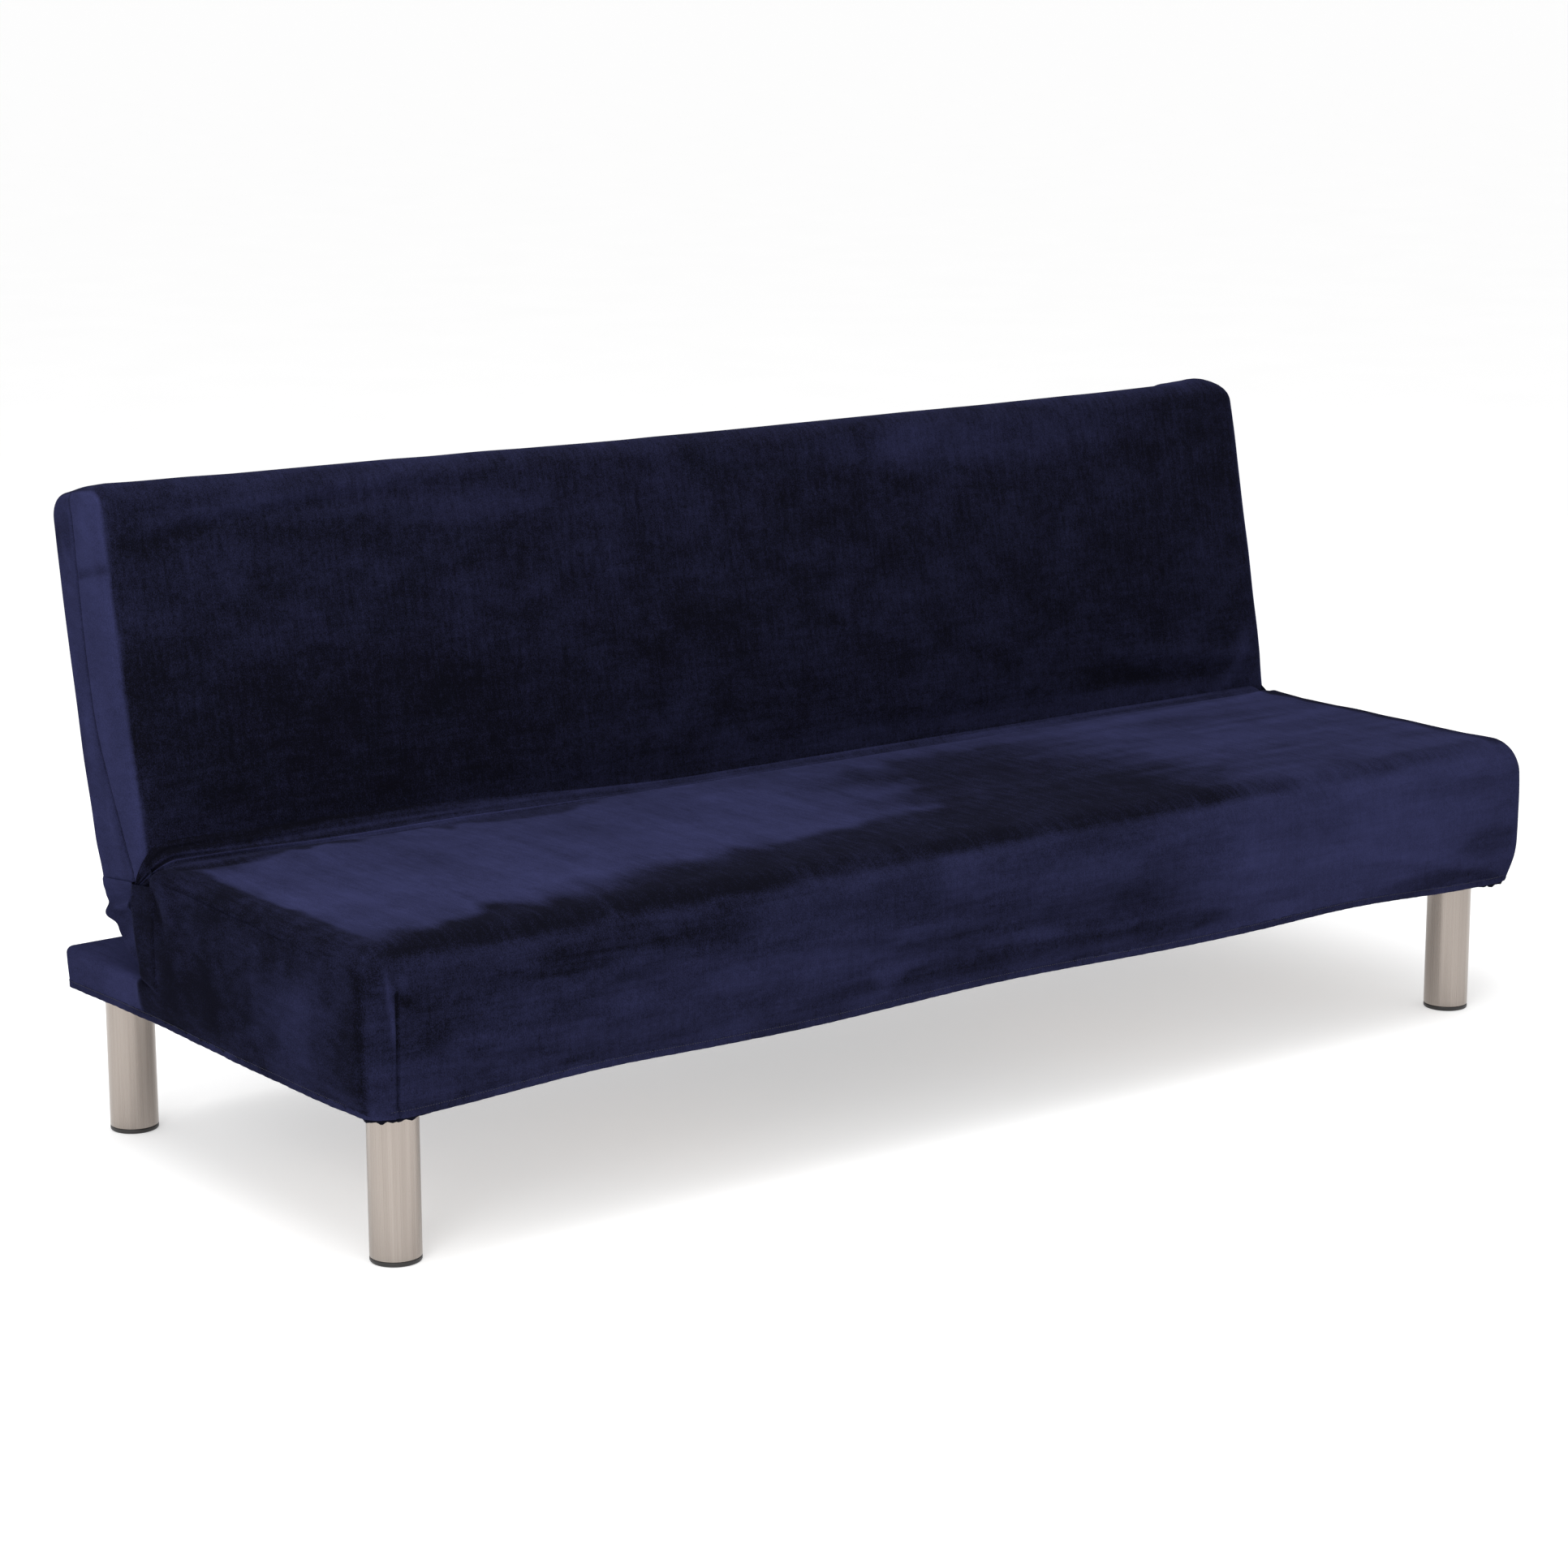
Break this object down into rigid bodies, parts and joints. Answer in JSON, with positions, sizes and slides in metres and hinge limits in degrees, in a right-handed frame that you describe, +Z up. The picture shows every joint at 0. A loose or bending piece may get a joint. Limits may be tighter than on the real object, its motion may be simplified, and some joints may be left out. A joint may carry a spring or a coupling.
{
  "type": "futon sofa bed",
  "caption": "Armless click-clack sofa bed in a stretch velvet slipcover, on round brushed steel legs; its back folds down level with the seat over a low rear ledge.",
  "frame": {"origin": "on the floor under the middle of the sofa's outline", "axes": "+X along the sofa's length, to the right of someone looking at its front; +Y to its back; +Z up"},
  "size_m": [1.851, 0.73, 0.8252],
  "materials": {
    "velvet": "navy stretch velvet with a short nap",
    "foam": "grey open-cell upholstery foam",
    "frame_paint": "black powder coat on steel tube",
    "beech": "laminated beech, clear lacquer",
    "stainless": "stainless tube, brushed along its length",
    "zinc": "zinc-plated pressed steel",
    "plastic": "moulded black plastic"
  },
  "bodies": {
    "base": {"leg_tube_front_left": "stainless", "leg_foot_front_left": "plastic", "leg_plate_front_left": "zinc", "leg_tube_front_right": "stainless", "leg_foot_front_right": "plastic", "leg_plate_front_right": "zinc", "leg_tube_rear_left": "stainless", "leg_foot_rear_left": "plastic", "leg_plate_rear_left": "zinc", "leg_tube_rear_right": "stainless", "leg_foot_rear_right": "plastic", "leg_plate_rear_right": "zinc", "base_front_rail": "frame_paint", "base_rear_rail": "frame_paint", "base_left_rail": "frame_paint", "base_centre_rail": "frame_paint", "base_right_rail": "frame_paint", "seat_front_bearer": "frame_paint", "seat_rear_bearer": "frame_paint", "seat_slat_1": "beech", "seat_slat_2": "beech", "seat_slat_3": "beech", "seat_slat_4": "beech", "seat_slat_5": "beech", "seat_foam": "foam", "seat_cover": "velvet", "ledge_cover": "velvet", "hinge_bracket_left": "zinc", "hinge_rivet_left": "zinc", "pawl_pin_left": "zinc", "pawl_spring_left": "zinc", "bracket_bolt_left_1": "zinc", "bracket_bolt_left_2": "zinc", "hinge_bracket_right": "zinc", "hinge_rivet_right": "zinc", "pawl_pin_right": "zinc", "pawl_spring_right": "zinc", "bracket_bolt_right_1": "zinc", "bracket_bolt_right_2": "zinc"},
    "back": {"hinge_arm_left": "zinc", "arm_bolt_left_1": "zinc", "arm_bolt_left_2": "zinc", "back_left_stile": "frame_paint", "hinge_arm_right": "zinc", "arm_bolt_right_1": "zinc", "arm_bolt_right_2": "zinc", "back_right_stile": "frame_paint", "back_bottom_rail": "frame_paint", "back_top_rail": "frame_paint", "back_slat_1": "beech", "back_slat_2": "beech", "back_slat_3": "beech", "back_slat_4": "beech", "back_foam": "foam", "back_cover": "velvet"},
    "pawl_left": {"pawl_left": "zinc"},
    "pawl_right": {"pawl_right": "zinc"}
  },
  "joints": [
    {"name": "back_recline", "type": "hinge", "parent": "base", "child": "back", "pos_m": [0, 0.15521, 0.356], "axis": [-1, 0, 0], "range_deg": [-11.5, 78.5]},
    {"name": "pawl_left_lift", "type": "hinge", "parent": "base", "child": "pawl_left", "pos_m": [-0.906, 0.12964, 0.31206], "axis": [1, 0, 0], "range_deg": [0, 8], "stiffness_Nm_per_rad": 0.4, "springref_deg": -8.59},
    {"name": "pawl_right_lift", "type": "hinge", "parent": "base", "child": "pawl_right", "pos_m": [0.906, 0.12964, 0.31206], "axis": [1, 0, 0], "range_deg": [0, 8], "stiffness_Nm_per_rad": 0.4, "springref_deg": -8.59}
  ],
  "couplings": [
    {"joint": "pawl_right_lift", "follows": "pawl_left_lift", "ratio": 1}
  ]
}
